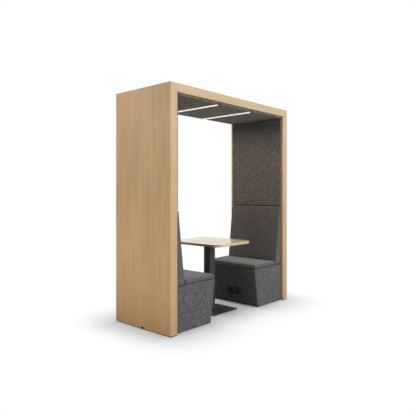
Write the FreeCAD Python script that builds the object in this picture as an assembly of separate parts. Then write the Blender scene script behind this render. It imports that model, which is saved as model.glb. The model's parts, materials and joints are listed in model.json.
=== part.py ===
import FreeCAD, Part
import math
import os

from FreeCAD import Placement, Rotation, Vector

# Millimetres, +X to the right, +Y to the back, +Z up, origin on the floor under the middle of the pod.

# Portal: overall sizes
pod_width = 1870.0
pod_depth = 765.0
pod_height = 2200.0
wall_thickness = 85.0
roof_thickness = 80.0
floor_gap = 8.0

# Portal: boards, solid lippings and inner frame
lipping_depth = 32.0
lipping_round = 1.5
lipping_inner_round = 7.0
outer_skin = 18.0
inner_skin = 12.0
roof_skin = 12.0
bottom_rail_height = 100.0
header_rail_height = 90.0
middle_rail_height = 60.0
middle_rail_height_shares = (0.5, 0.72)
joist_width = 40.0
joist_count = 4
cable_notch_width = 40.0
cable_notch_height = 12.0
cable_notch_offset = -10.0

# Fasteners that all sub-assemblies share
screw_shank_radius = 2.2
screw_shank_length = 14.0
screw_head_radius = 4.5
screw_head_height = 2.6
screw_clearance = 0.05

# Angle brackets between walls and roof
bracket_leg = 40.0
bracket_width = 50.0
bracket_thickness = 3.0
bracket_spacing = 440.0
bracket_screw_bite_share = 0.7

# Levelling feet and their threaded inserts
foot_inset = 80.0
foot_pad_radius = 23.0
foot_pad_bevel = 1.5
foot_stem_radius = 5.0
foot_stem_length = 36.0
insert_flange_radius = 15.0
insert_flange_thickness = 2.0
insert_outer_radius = 9.0
insert_length = 40.0
insert_clearance = 0.05
running_clearance = 0.08
seat_clearance = 0.3

# Felt lining on walls and ceiling
lining_front_setback = 21.0
lining_rear_setback = 41.0
wall_pad_thickness = 27.0
ceiling_setback = 20.0
ceiling_pad_thickness = 18.0
lining_gap = 2.0
lining_round = 5.0
lining_corner = 8.0
lining_crown = 0.8
lining_pull = 0.5

# Light bars in the grooves of the ceiling
light_offset = 267.0
light_length = 692.0
light_width = 20.0
light_groove = 24.0
light_drop = 10.0
channel_height = 20.0
channel_wall = 1.6
led_strip_width = 12.0
led_strip_thickness = 1.6
diffuser_wall = 1.5
diffuser_round = 3.0
end_cap_thickness = 4.0
driver_length = 160.0
driver_width = 42.0
driver_height = 30.0
driver_round = 3.0

# Benches
bench_toe_depth = 467.0
bench_seat_depth = 525.0
bench_glide_height = 5.0
bench_glide_inset = 60.0
seam_height = 416.0
skirt_thickness = 14.0
skirt_round = 6.0
bench_board = 18.0
back_rail_height = 70.0
bench_bolt_radius = 4.0
bench_bolt_length = 58.0
bench_bolt_head_radius = 8.0
bench_bolt_head_height = 5.0
bench_bolt_spacing = 400.0
bolt_clearance = 0.08

# Seat cushions and backrests
seat_height = 467.0
seat_round = 9.0
seat_crown = 2.0
seat_corner = 14.0
seat_pull = 2.0
seat_gap = 1.0
seat_board_thickness = 12.0
seat_board_inset = 40.0
backrest_foot_depth = 126.0
backrest_top_depth = 40.0
backrest_top_height = 1087.0
backrest_round = 7.0
backrest_crown = 2.0
backrest_corner = 8.0
backrest_pull = 1.5
backrest_board_thickness = 12.0
backrest_board_inset = 30.0
backrest_gap = 2.0
pocket_clearance = 0.2

# Rise of a padded form from its back to its crown: height shares, round shares and crown inset
pad_side_height_shares = (0.0, 0.12, 0.4, 0.7, 0.88, 1.0)
pad_side_inset_shares = (0.6, 0.2, 0.0, 0.05, 0.35, 1.0)
pad_crown_height_shares = (0.6, 1.0)
pad_crown_inset = 45.0

# Table
table_width = 580.0
table_depth = 676.0
table_top_lead = 18.0
table_height = 730.0
table_top_thickness = 24.0
table_corner = 92.0
table_edge_round = 2.0
top_plate_size = 280.0
top_plate_thickness = 6.0
top_plate_corner = 10.0
table_screw_inset = 25.0
column_size = 86.0
column_wall = 3.0
column_corner = 4.0
base_width = 380.0
base_depth = 460.0
base_thickness = 8.0
base_corner = 6.0
base_edge_round = 1.2
table_glide_height = 2.0
table_glide_radius = 15.0
table_glide_inset = 35.0

# Power module in the front of the right bench
module_height = 148.0
module_offset = -40.0
bezel_width = 170.0
bezel_height = 76.0
bezel_thickness = 3.0
bezel_corner = 14.0
bezel_round = 1.0
housing_width = 140.0
housing_height = 52.0
housing_depth = 48.0
housing_wall = 2.0
housing_clearance = 0.5
socket_place = -44.0
socket_radius = 20.0
socket_recess_radius = 17.0
socket_recess_depth = 12.0
socket_depth = 18.0
socket_pin_radius = 2.4
socket_pin_spacing = 19.0
usb_place = 15.0
usb_width = 36.0
usb_height = 28.0
usb_depth = 16.0
usb_port_width = 14.0
usb_port_height = 7.0
usb_port_depth = 9.0
usb_port_spacing = 14.0
insert_rim = 2.5
insert_rim_thickness = 3.0
insert_fit = 0.3
button_place = 53.0
button_radius = 9.0
button_proud = 2.0
button_crown_round = 1.0
button_flange = 2.0
button_flange_thickness = 3.0
inlet_radius = 7.0
inlet_flange_radius = 10.0
inlet_flange_thickness = 4.0
inlet_bore_radius = 4.0

# Overrun of every cut and the tolerance of edge picking
overrun = 5.0
pick_tolerance = 0.001

# Places that follow from the sizes above
half_width = pod_width / 2
half_depth = pod_depth / 2
inner_face = half_width - wall_thickness
core_inner = inner_face + inner_skin
core_outer = half_width - outer_skin
core_middle = (core_inner + core_outer) / 2
board_depth = half_depth - lipping_depth
roof_underside = pod_height - roof_thickness
void_bottom = roof_underside + roof_skin
void_top = pod_height - roof_skin
bench_toe = inner_face - bench_toe_depth
bench_lip = inner_face - bench_seat_depth
bench_near = lining_front_setback - half_depth
bench_far = half_depth - lining_rear_setback
bench_middle = (bench_near + bench_far) / 2
board_near = bench_near + skirt_thickness
board_far = bench_far - skirt_thickness
board_top = seam_height - bench_board
bolt_height = board_top - back_rail_height / 2
foot_places = [half_depth - foot_inset, foot_inset - half_depth]
ceiling_half_depth = half_depth - ceiling_setback
ceiling_underside = roof_underside - ceiling_pad_thickness
groove_half = light_groove / 2
backrest_foot = inner_face - backrest_foot_depth
bracket_screw_length = bracket_thickness + roof_skin * bracket_screw_bite_share
axis_x = Vector(1, 0, 0)
axis_y = Vector(0, 1, 0)
axis_z = Vector(0, 0, 1)


# Small makers

def block(x_low, x_high, y_low, y_high, z_low, z_high):
    size = (x_high - x_low, y_high - y_low, z_high - z_low)
    return Part.makeBox(*size, Vector(x_low, y_low, z_low))


def prism_along_y(outline, y_low, y_high):
    points = [Vector(x, y_low, z) for x, z in outline]
    face = Part.Face(Part.makePolygon(points + points[:1]))
    return face.extrude(axis_y * (y_high - y_low))


def rod(radius, length, base, axis):
    return Part.makeCylinder(radius, length, base, axis)


def mirrored(shape):
    return shape.mirror(Vector(0, 0, 0), axis_x)


def other_end(shape):
    """The same piece at the other end of a bench."""
    return shape.mirror(Vector(0, bench_middle, 0), axis_y)


def both_sides(shapes):
    return shapes + [mirrored(shape) for shape in shapes]


def rounded_plate(width, depth, corner, z_low, z_high):
    """Upright plate about the Z axis with round corners in plan."""
    plate = block(-width / 2, width / 2, -depth / 2, depth / 2, z_low, z_high)
    upright = [edge for edge in plate.Edges if runs_along(edge, axis_z)]
    return plate.makeFillet(corner, upright)


def runs_along(edge, axis):
    if len(edge.Vertexes) < 2:
        return False
    run = edge.Vertexes[1].Point - edge.Vertexes[0].Point
    return run.cross(axis).Length < pick_tolerance * run.Length


def lies_at(edge, axis, place):
    return all(abs(vertex.Point.dot(axis) - place) < pick_tolerance for vertex in edge.Vertexes)


def edges_at(shape, axis, place):
    return [edge for edge in shape.Edges if lies_at(edge, axis, place)]


def screw(seat, axis, shank_length):
    """Pan-head screw: the head lies on the seat and the shank runs along the axis."""
    head = rod(screw_head_radius, screw_head_height, seat - axis * screw_head_height, axis)
    return head.fuse(rod(screw_shank_radius, shank_length, seat, axis)).removeSplitter()


def screw_hole(seat, axis, shank_length):
    return rod(screw_shank_radius + screw_clearance, shank_length + screw_clearance, seat, axis)


def pad_outline(place, low, high, level, inset, corner, pull):
    """Closed outline of one level of a padded form: drawn-in side arcs joined by corner arcs."""
    a_low, b_low = low[0] + inset, low[1] + inset
    a_high, b_high = high[0] - inset, high[1] - inset
    a_middle = (a_low + a_high) / 2
    b_middle = (b_low + b_high) / 2
    bow = corner * (1 - math.sqrt(0.5))
    arcs = [
        [(a_low + corner, b_low), (a_middle, b_low + pull), (a_high - corner, b_low)],
        [(a_high - corner, b_low), (a_high - bow, b_low + bow), (a_high, b_low + corner)],
        [(a_high, b_low + corner), (a_high - pull, b_middle), (a_high, b_high - corner)],
        [(a_high, b_high - corner), (a_high - bow, b_high - bow), (a_high - corner, b_high)],
        [(a_high - corner, b_high), (a_middle, b_high - pull), (a_low + corner, b_high)],
        [(a_low + corner, b_high), (a_low + bow, b_high - bow), (a_low, b_high - corner)],
        [(a_low, b_high - corner), (a_low + pull, b_middle), (a_low, b_low + corner)],
        [(a_low, b_low + corner), (a_low + bow, b_low + bow), (a_low + corner, b_low)],
    ]
    edges = [Part.Arc(*[place(a, b, level) for a, b in arc]).toShape() for arc in arcs]
    return Part.Wire(edges)


def padded_form(place, low, high, thickness, edge_round, corner, crown, pull):
    """Crowned solid over the rectangle low to high; place maps two lengths and a height to a point."""
    body = thickness - crown
    levels = [
        (body * height_share, edge_round * inset_share)
        for height_share, inset_share in zip(pad_side_height_shares, pad_side_inset_shares)
    ]
    for step, height_share in enumerate(pad_crown_height_shares, 1):
        levels.append((body + crown * height_share, edge_round + pad_crown_inset * step))
    wires = [pad_outline(place, low, high, level, inset, corner, pull) for level, inset in levels]
    return Part.makeLoft(wires, True, True)


# Portal: walls and roof

def cable_notch():
    notch_low = cable_notch_offset - cable_notch_width / 2
    notch_high = cable_notch_offset + cable_notch_width / 2
    notch_top = floor_gap + cable_notch_height
    return block(inner_face - overrun, half_width + overrun, notch_low, notch_high,
                 floor_gap - overrun, notch_top)


def eased_edge(solid, y_face, side, place, radius):
    """Rounds the straight edge of a lipping's face that lies at one place along a side's axis."""
    eased = [edge for edge in edges_at(solid, axis_y, y_face) if lies_at(edge, side, place)]
    return solid.makeFillet(radius, eased)


def post(y_low, y_high, y_face):
    """Solid oak lipping of a wall, mitred at the top: outer edge eased, inner edge rounded."""
    outline = [(inner_face, floor_gap), (half_width, floor_gap),
               (half_width, pod_height), (inner_face, roof_underside)]
    solid = prism_along_y(outline, y_low, y_high)
    solid = eased_edge(solid, y_face, axis_x, inner_face, lipping_inner_round)
    return eased_edge(solid, y_face, axis_x, half_width, lipping_round)


def beam(y_low, y_high, y_face):
    outline = [(-inner_face, roof_underside), (inner_face, roof_underside),
               (half_width, pod_height), (-half_width, pod_height)]
    solid = prism_along_y(outline, y_low, y_high)
    solid = eased_edge(solid, y_face, axis_z, roof_underside, lipping_inner_round)
    return eased_edge(solid, y_face, axis_z, pod_height, lipping_round)


def bracket_places():
    return [bracket_spacing / 2, -bracket_spacing / 2]


def bracket_seats(y):
    """Seat and direction of the two screws of one angle bracket on the right."""
    on_rail = Vector(core_inner - bracket_thickness, y, void_bottom + bracket_leg / 2)
    on_soffit = Vector(core_inner - bracket_leg / 2, y, void_bottom + bracket_thickness)
    return [(on_rail, axis_x), (on_soffit, -axis_z)]


def bracket_holes():
    return [screw_hole(seat, axis, bracket_screw_length)
            for y in bracket_places() for seat, axis in bracket_seats(y)]


def bolt_seats():
    """Seats of the bolts that hold the right bench to its wall."""
    seat_x = inner_face - bench_board
    return [Vector(seat_x, bench_middle + side * bench_bolt_spacing / 2, bolt_height) for side in (-1, 1)]


def bolt_holes():
    radius = bench_bolt_radius + bolt_clearance
    return [rod(radius, bench_bolt_length + bolt_clearance, seat, axis_x) for seat in bolt_seats()]


def wall_rails():
    """Rails of the right wall: bottom rail, rail for the bench bolts, middle rails and header."""
    middles = [bolt_height] + [pod_height * share for share in middle_rail_height_shares]
    spans = [(floor_gap, floor_gap + bottom_rail_height), (void_top - header_rail_height, void_top)]
    spans += [(z - middle_rail_height / 2, z + middle_rail_height / 2) for z in middles]
    rails = [block(core_inner, core_outer, -board_depth, board_depth, *span) for span in spans]
    insert_holes = [
        rod(insert_outer_radius + insert_clearance, insert_length + insert_clearance,
            Vector(core_middle, y, floor_gap), axis_z)
        for y in foot_places
    ]
    cuts = [cable_notch()] + insert_holes + bolt_holes() + bracket_holes()
    return [rail.cut(cuts) for rail in rails]


def outer_panel():
    panel = block(core_outer, half_width, -board_depth, board_depth, floor_gap, pod_height)
    return panel.cut(cable_notch())


def inner_panel():
    panel = block(inner_face, core_inner, -board_depth, board_depth, floor_gap, roof_underside)
    return panel.cut([cable_notch()] + bolt_holes())


def roof_top_panel():
    return block(-core_outer, core_outer, -board_depth, board_depth, void_top, pod_height)


def roof_soffit_panel():
    panel = block(-core_inner, core_inner, -board_depth, board_depth, roof_underside, void_bottom)
    return panel.cut(both_sides(bracket_holes()))


def roof_joists():
    pitch = 2 * inner_face / (joist_count + 1)
    middles = [pitch * (step + 1) - inner_face for step in range(joist_count)]
    return [block(x - joist_width / 2, x + joist_width / 2, -board_depth, board_depth, void_bottom, void_top)
            for x in middles]


def corner_brackets():
    brackets = []
    for y in bracket_places():
        y_low, y_high = y - bracket_width / 2, y + bracket_width / 2
        upright = block(core_inner - bracket_thickness, core_inner, y_low, y_high,
                        void_bottom, void_bottom + bracket_leg)
        flat = block(core_inner - bracket_leg, core_inner, y_low, y_high,
                     void_bottom, void_bottom + bracket_thickness)
        brackets.append(upright.fuse(flat).removeSplitter().cut(bracket_holes()))
    return both_sides(brackets)


def corner_screws():
    return both_sides([screw(seat, axis, bracket_screw_length)
                       for y in bracket_places() for seat, axis in bracket_seats(y)])


# Levelling feet

def foot(y):
    pad_height = floor_gap - insert_flange_thickness - seat_clearance
    pad = rod(foot_pad_radius, pad_height, Vector(core_middle, y, 0), axis_z)
    pad = pad.makeChamfer(foot_pad_bevel, edges_at(pad, axis_z, pad_height))
    stem = rod(foot_stem_radius, foot_stem_length, Vector(core_middle, y, pad_height), axis_z)
    return pad.fuse(stem).removeSplitter()


def foot_insert(y):
    flange_bottom = Vector(core_middle, y, floor_gap - insert_flange_thickness)
    flange = rod(insert_flange_radius, insert_flange_thickness, flange_bottom, axis_z)
    sleeve = rod(insert_outer_radius, insert_length, Vector(core_middle, y, floor_gap), axis_z)
    bore = rod(foot_stem_radius + running_clearance, insert_flange_thickness + insert_length,
               flange_bottom, axis_z)
    return flange.fuse(sleeve).removeSplitter().cut(bore)


# Felt lining and light bars

def wall_pad():
    low = (bench_near, backrest_top_height + backrest_gap)
    high = (bench_far, ceiling_underside - lining_gap)

    def place(y, z, height):
        return Vector(inner_face - height, y, z)

    return padded_form(place, low, high, wall_pad_thickness, lining_round, lining_corner,
                       lining_crown, lining_pull)


def ceiling_pad(x_low, x_high):
    def place(x, y, height):
        return Vector(x, y, roof_underside - height)

    return padded_form(place, (x_low, -ceiling_half_depth), (x_high, ceiling_half_depth),
                       ceiling_pad_thickness, lining_round, lining_corner, lining_crown, lining_pull)


def light_box(half, z_low, z_high, half_length=light_length / 2):
    return block(light_offset - half, light_offset + half, -half_length, half_length, z_low, z_high)


channel_bottom = roof_underside - channel_height
light_bottom = ceiling_underside - light_drop
web_bottom = roof_underside - channel_wall


def light_channel():
    outer = light_box(light_width / 2, channel_bottom, roof_underside)
    hollow = light_box(light_width / 2 - channel_wall, channel_bottom - overrun, web_bottom,
                       light_length / 2 + overrun)
    return outer.cut(hollow)


def led_strip():
    return light_box(led_strip_width / 2, web_bottom - led_strip_thickness, web_bottom)


def light_diffuser():
    outer = light_box(light_width / 2, light_bottom, channel_bottom)
    lower = [edge for edge in edges_at(outer, axis_z, light_bottom) if runs_along(edge, axis_y)]
    hollow = light_box(light_width / 2 - diffuser_wall, light_bottom + diffuser_wall,
                       channel_bottom + overrun, light_length / 2 + overrun)
    return outer.makeFillet(diffuser_round, lower).cut(hollow)


def light_end_caps():
    cap = light_box(light_width / 2, light_bottom, roof_underside, light_length / 2 + end_cap_thickness)
    lower = [edge for edge in edges_at(cap, axis_z, light_bottom) if runs_along(edge, axis_y)]
    bar = light_box(light_width, light_bottom - overrun, roof_underside + overrun)
    return cap.makeFillet(diffuser_round, lower).cut(bar).Solids


def led_driver():
    case = block(-driver_length / 2, driver_length / 2, -driver_width / 2, driver_width / 2,
                 void_bottom, void_bottom + driver_height)
    return case.makeFillet(driver_round, edges_at(case, axis_z, void_bottom + driver_height))


# Benches, made on the right side

def bench_front(z):
    """X of the raked bench front at a height."""
    rise = (z - bench_glide_height) / (seam_height - bench_glide_height)
    return bench_toe + (bench_lip - bench_toe) * rise


def raked_outline(x_offset_front, x_offset_back, z_low, z_high):
    return [(bench_front(z_low) + x_offset_front, z_low), (bench_front(z_low) + x_offset_back, z_low),
            (bench_front(z_high) + x_offset_back, z_high), (bench_front(z_high) + x_offset_front, z_high)]


def raked_to_wall(x_offset_front, z_low, z_high):
    return [(bench_front(z_low) + x_offset_front, z_low), (inner_face, z_low),
            (inner_face, z_high), (bench_front(z_high) + x_offset_front, z_high)]


def bench_skirt():
    """Upholstered front and side panels that hang round the boards of the bench."""
    front = prism_along_y(raked_outline(0, skirt_thickness, bench_glide_height, seam_height),
                          bench_near, bench_far)
    front = front.makeFillet(skirt_round, skirt_front_edges(front))
    side = prism_along_y(raked_to_wall(skirt_thickness, bench_glide_height, seam_height),
                         board_far, bench_far)
    upper = [edge for edge in edges_at(side, axis_y, bench_far) if lies_at(edge, axis_z, seam_height)]
    side = side.makeFillet(skirt_round, upper)
    return [front, side, other_end(side)]


def skirt_front_edges(front):
    """Top edge and the two raked end edges of the skirt's front face."""
    def on_front(vertex):
        return abs(vertex.Point.x - bench_front(vertex.Point.z)) < pick_tolerance

    face_edges = [edge for edge in front.Edges if all(on_front(vertex) for vertex in edge.Vertexes)]
    return [edge for edge in face_edges if not lies_at(edge, axis_z, bench_glide_height)]


def bench_boards():
    inside = skirt_thickness + bench_board
    rail_near, rail_far = board_near + bench_board, board_far - bench_board
    front = prism_along_y(raked_outline(skirt_thickness, inside, bench_glide_height, board_top),
                          board_near, board_far)
    side = prism_along_y(raked_to_wall(inside, bench_glide_height, board_top), rail_far, board_far)
    rail = block(inner_face - bench_board, inner_face, rail_near, rail_far,
                 board_top - back_rail_height, board_top)
    return [front, side, other_end(side), rail.cut(bolt_holes())]


def bench_top_board():
    return prism_along_y(raked_to_wall(skirt_thickness, board_top, seam_height),
                         board_near, board_far)


def bench_glides():
    x_places = [bench_front(bench_glide_height) + skirt_thickness + bench_board + bench_glide_inset,
                inner_face - bench_glide_inset]
    y_places = [board_near + bench_board / 2, board_far - bench_board / 2]
    return [rod(bench_board / 2, bench_glide_height, Vector(x, y, 0), axis_z)
            for x in x_places for y in y_places]


def bench_bolts():
    bolts = []
    for seat in bolt_seats():
        head_base = seat - axis_x * bench_bolt_head_height
        head = rod(bench_bolt_head_radius, bench_bolt_head_height, head_base, axis_x)
        bolts.append(head.fuse(rod(bench_bolt_radius, bench_bolt_length, seat, axis_x)).removeSplitter())
    return bolts


def seat_board(clearance=0.0):
    return block(bench_lip + seat_board_inset - clearance,
                 backrest_foot - seat_board_inset + clearance,
                 bench_near + seat_board_inset - clearance,
                 bench_far - seat_board_inset + clearance,
                 seam_height, seam_height + seat_board_thickness + clearance)


def seat_cushion():
    def place(x, y, height):
        return Vector(x, y, seam_height + height)

    low = (bench_lip, bench_near)
    high = (backrest_foot - seat_gap, bench_far)
    form = padded_form(place, low, high, seat_height - seam_height, seat_round, seat_corner,
                       seat_crown, seat_pull)
    return form.cut(seat_board(pocket_clearance))


def backrest_board(clearance=0.0):
    return block(inner_face - backrest_board_thickness - clearance, inner_face,
                 bench_near + backrest_board_inset - clearance,
                 bench_far - backrest_board_inset + clearance,
                 seam_height + backrest_board_inset - clearance,
                 backrest_top_height - backrest_board_inset + clearance)


def backrest_cushion():
    """Wedge that leans back: deep at the seat and thin at the top."""
    def place(y, z, height):
        rise = (z - seam_height) / (backrest_top_height - seam_height)
        depth = backrest_foot_depth + (backrest_top_depth - backrest_foot_depth) * rise
        return Vector(inner_face - depth * height / backrest_foot_depth, y, z)

    low = (bench_near, seam_height)
    high = (bench_far, backrest_top_height)
    form = padded_form(place, low, high, backrest_foot_depth, backrest_round, backrest_corner,
                       backrest_crown, backrest_pull)
    return form.cut(backrest_board(pocket_clearance))


# Table, standing by itself on the middle of the floor

table_underside = table_height - table_top_thickness
plate_underside = table_underside - top_plate_thickness
base_top = table_glide_height + base_thickness


def table_screw_seats():
    reach = top_plate_size / 2 - table_screw_inset
    return [Vector(x * reach, y * reach, plate_underside) for x in (-1, 1) for y in (-1, 1)]


def table_screw_holes():
    return [screw_hole(seat, axis_z, screw_shank_length) for seat in table_screw_seats()]


def table_top():
    top = rounded_plate(table_width, table_depth, table_corner, table_underside, table_height)
    rims = edges_at(top, axis_z, table_underside) + edges_at(top, axis_z, table_height)
    top = top.makeFillet(table_edge_round, rims)
    top.translate(Vector(0, -table_top_lead, 0))
    return top.cut(table_screw_holes())


def table_top_plate():
    plate = rounded_plate(top_plate_size, top_plate_size, top_plate_corner, plate_underside, table_underside)
    return plate.cut(table_screw_holes())


def table_column():
    inside = column_size - 2 * column_wall
    inner_corner = max(column_corner - column_wall, column_wall / 4)
    tube = rounded_plate(column_size, column_size, column_corner, base_top, plate_underside)
    hollow = rounded_plate(inside, inside, inner_corner, base_top - overrun, plate_underside + overrun)
    return tube.cut(hollow)


def table_base_plate():
    plate = rounded_plate(base_width, base_depth, base_corner, table_glide_height, base_top)
    return plate.makeFillet(base_edge_round, edges_at(plate, axis_z, base_top))


def table_glides():
    x_reach = base_width / 2 - table_glide_inset
    y_reach = base_depth / 2 - table_glide_inset
    return [rod(table_glide_radius, table_glide_height, Vector(x * x_reach, y * y_reach, 0), axis_z)
            for x in (-1, 1) for y in (-1, 1)]


def table_screws():
    return [screw(seat, axis_z, screw_shank_length) for seat in table_screw_seats()]


# Power module: made flat about the Z axis, its face up, then laid on the raked bench front

slope = Vector(bench_lip - bench_toe, 0, seam_height - bench_glide_height)
slope.normalize()
outward = (-axis_y).cross(slope)
module_seat = Vector(bench_front(module_height), module_offset, module_height)
module_placement = Placement(module_seat, Rotation(-axis_y, slope, outward, "ZYX"))


def on_bench(shape):
    return shape.transformed(module_placement.toMatrix())


def flat_block(x_middle, width, height, z_low, z_high):
    return block(x_middle - width / 2, x_middle + width / 2, -height / 2, height / 2, z_low, z_high)


def module_cutout():
    cutout_width = housing_width + 2 * housing_clearance
    cutout_height = housing_height + 2 * housing_clearance
    return on_bench(flat_block(0, cutout_width, cutout_height, -housing_depth, overrun))


def power_bezel():
    bezel = rounded_plate(bezel_width, bezel_height, bezel_corner, 0, bezel_thickness)
    bezel = bezel.makeFillet(bezel_round, edges_at(bezel, axis_z, bezel_thickness))
    through = bezel_thickness + 2 * overrun
    holes = [
        rod(socket_radius + insert_fit, through, Vector(socket_place, 0, -overrun), axis_z),
        flat_block(usb_place, usb_width + 2 * insert_fit, usb_height + 2 * insert_fit, -overrun, through),
        rod(button_radius + insert_fit, through, Vector(button_place, 0, -overrun), axis_z),
    ]
    return on_bench(bezel.cut(holes))


def power_housing():
    outer = flat_block(0, housing_width, housing_height, -housing_depth, 0)
    hollow = flat_block(0, housing_width - 2 * housing_wall, housing_height - 2 * housing_wall,
                        housing_wall - housing_depth, overrun)
    inlet_hole = rod(inlet_radius + insert_clearance, housing_wall + 2 * overrun,
                     Vector(0, 0, -housing_depth - overrun), axis_z)
    return on_bench(outer.cut([hollow, inlet_hole]))


def power_socket_insert():
    base = Vector(socket_place, 0, -socket_depth)
    body = rod(socket_radius, socket_depth + bezel_thickness, base, axis_z)
    rim = rod(socket_radius + insert_rim, insert_rim_thickness,
              Vector(socket_place, 0, -insert_rim_thickness), axis_z)
    floor_z = bezel_thickness - socket_recess_depth
    recess = rod(socket_recess_radius, socket_recess_depth + overrun,
                 Vector(socket_place, 0, floor_z), axis_z)
    pins = [rod(socket_pin_radius, socket_depth + floor_z + overrun,
                Vector(socket_place + side * socket_pin_spacing / 2, 0, -socket_depth - overrun), axis_z)
            for side in (-1, 1)]
    return on_bench(body.fuse(rim).removeSplitter().cut([recess] + pins))


def power_usb_insert():
    body = flat_block(usb_place, usb_width, usb_height, -usb_depth, bezel_thickness)
    rim = flat_block(usb_place, usb_width + 2 * insert_rim, usb_height + 2 * insert_rim,
                     -insert_rim_thickness, 0)
    port = flat_block(usb_place, usb_port_width, usb_port_height,
                      bezel_thickness - usb_port_depth, bezel_thickness + overrun)
    ports = [port.translated(axis_y * (side * usb_port_spacing / 2)) for side in (-1, 1)]
    return on_bench(body.fuse(rim).removeSplitter().cut(ports))


def light_switch_button():
    top = bezel_thickness + button_proud
    flange_top = -seat_clearance
    flange_base = Vector(button_place, 0, flange_top - button_flange_thickness)
    cap = rod(button_radius, top - flange_top, Vector(button_place, 0, flange_top), axis_z)
    cap = cap.makeFillet(button_crown_round, edges_at(cap, axis_z, top))
    flange = rod(button_radius + button_flange, button_flange_thickness, flange_base, axis_z)
    return on_bench(cap.fuse(flange).removeSplitter())


def power_cable_inlet():
    back = -housing_depth
    flange = rod(inlet_flange_radius, inlet_flange_thickness,
                 Vector(0, 0, back - inlet_flange_thickness), axis_z)
    neck = rod(inlet_radius, housing_wall, Vector(0, 0, back), axis_z)
    bore = rod(inlet_bore_radius, inlet_flange_thickness + housing_wall + 2 * overrun,
               Vector(0, 0, back - inlet_flange_thickness - overrun), axis_z)
    return on_bench(flange.fuse(neck).removeSplitter().cut(bore))


# The whole pod: every node with its solids

def portal_nodes():
    front = (-half_depth, -board_depth, -half_depth)
    rear = (board_depth, half_depth, half_depth)
    nodes = {
        "right_outer_panel": [outer_panel()],
        "right_inner_panel": [inner_panel()],
        "right_front_post": [post(*front)],
        "right_rear_post": [post(*rear)],
        "right_wall_pad": [wall_pad()],
    }
    nodes.update({name.replace("right", "left"): [mirrored(solids[0])] for name, solids in nodes.items()})
    nodes["wall_rails"] = both_sides(wall_rails())
    nodes["roof_front_beam"] = [beam(*front)]
    nodes["roof_rear_beam"] = [beam(*rear)]
    nodes["roof_top_panel"] = [roof_top_panel()]
    nodes["roof_soffit_panel"] = [roof_soffit_panel()]
    nodes["roof_joists"] = roof_joists()
    nodes["corner_brackets"] = corner_brackets()
    nodes["corner_screws"] = corner_screws()
    for place_name, y in zip(("rear", "front"), foot_places):
        nodes["right_" + place_name + "_foot"] = [foot(y)]
        nodes["left_" + place_name + "_foot"] = [mirrored(foot(y))]
    nodes["foot_inserts"] = both_sides([foot_insert(y) for y in foot_places])
    return nodes


def ceiling_nodes():
    side_pad = ceiling_pad(light_offset + groove_half, inner_face - lining_gap)
    return {
        "ceiling_pad_right": [side_pad],
        "ceiling_pad_left": [mirrored(side_pad)],
        "ceiling_pad_middle": [ceiling_pad(groove_half - light_offset, light_offset - groove_half)],
        "light_channels": both_sides([light_channel()]),
        "led_strips": both_sides([led_strip()]),
        "light_diffusers": both_sides([light_diffuser()]),
        "light_end_caps": both_sides(light_end_caps()),
        "led_driver": [led_driver()],
    }


def bench_nodes():
    skirt = bench_skirt()
    boards = bench_boards()
    cutout = module_cutout()
    cushion = seat_cushion()
    backrest = backrest_cushion()
    return {
        "right_bench_skirt": [skirt[0].cut(cutout)] + skirt[1:],
        "left_bench_skirt": [mirrored(panel) for panel in skirt],
        "right_bench_boards": [boards[0].cut(cutout)] + boards[1:],
        "left_bench_boards": [mirrored(board) for board in boards],
        "right_bench_top_board": [bench_top_board()],
        "left_bench_top_board": [mirrored(bench_top_board())],
        "right_seat_cushion": [cushion],
        "left_seat_cushion": [mirrored(cushion)],
        "right_backrest_cushion": [backrest],
        "left_backrest_cushion": [mirrored(backrest)],
        "seat_boards": both_sides([seat_board()]),
        "backrest_boards": both_sides([backrest_board()]),
        "bench_glides": both_sides(bench_glides()),
        "bench_bolts": both_sides(bench_bolts()),
    }


def table_nodes():
    return {
        "table_top": [table_top()],
        "table_top_plate": [table_top_plate()],
        "table_column": [table_column()],
        "table_base_plate": [table_base_plate()],
        "table_glides": table_glides(),
        "table_screws": table_screws(),
    }


def power_nodes():
    return {
        "power_bezel": [power_bezel()],
        "power_housing": [power_housing()],
        "power_socket_insert": [power_socket_insert()],
        "power_usb_insert": [power_usb_insert()],
        "light_switch_button": [light_switch_button()],
        "power_cable_inlet": [power_cable_inlet()],
    }


os.makedirs("parts", exist_ok=True)
for make_nodes in (portal_nodes, ceiling_nodes, bench_nodes, table_nodes, power_nodes):
    for node, pieces in make_nodes().items():
        solids = [solid for piece in pieces for solid in piece.Solids]
        shape = solids[0] if len(solids) == 1 else Part.makeCompound(solids)
        shape.exportStep("parts/" + node + ".step")
        print(node, len(solids), "solids", "valid" if shape.isValid() else "not valid")
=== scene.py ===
import json
import math

import bmesh
import bpy
from mathutils import Euler, Matrix, Vector, noise


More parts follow.
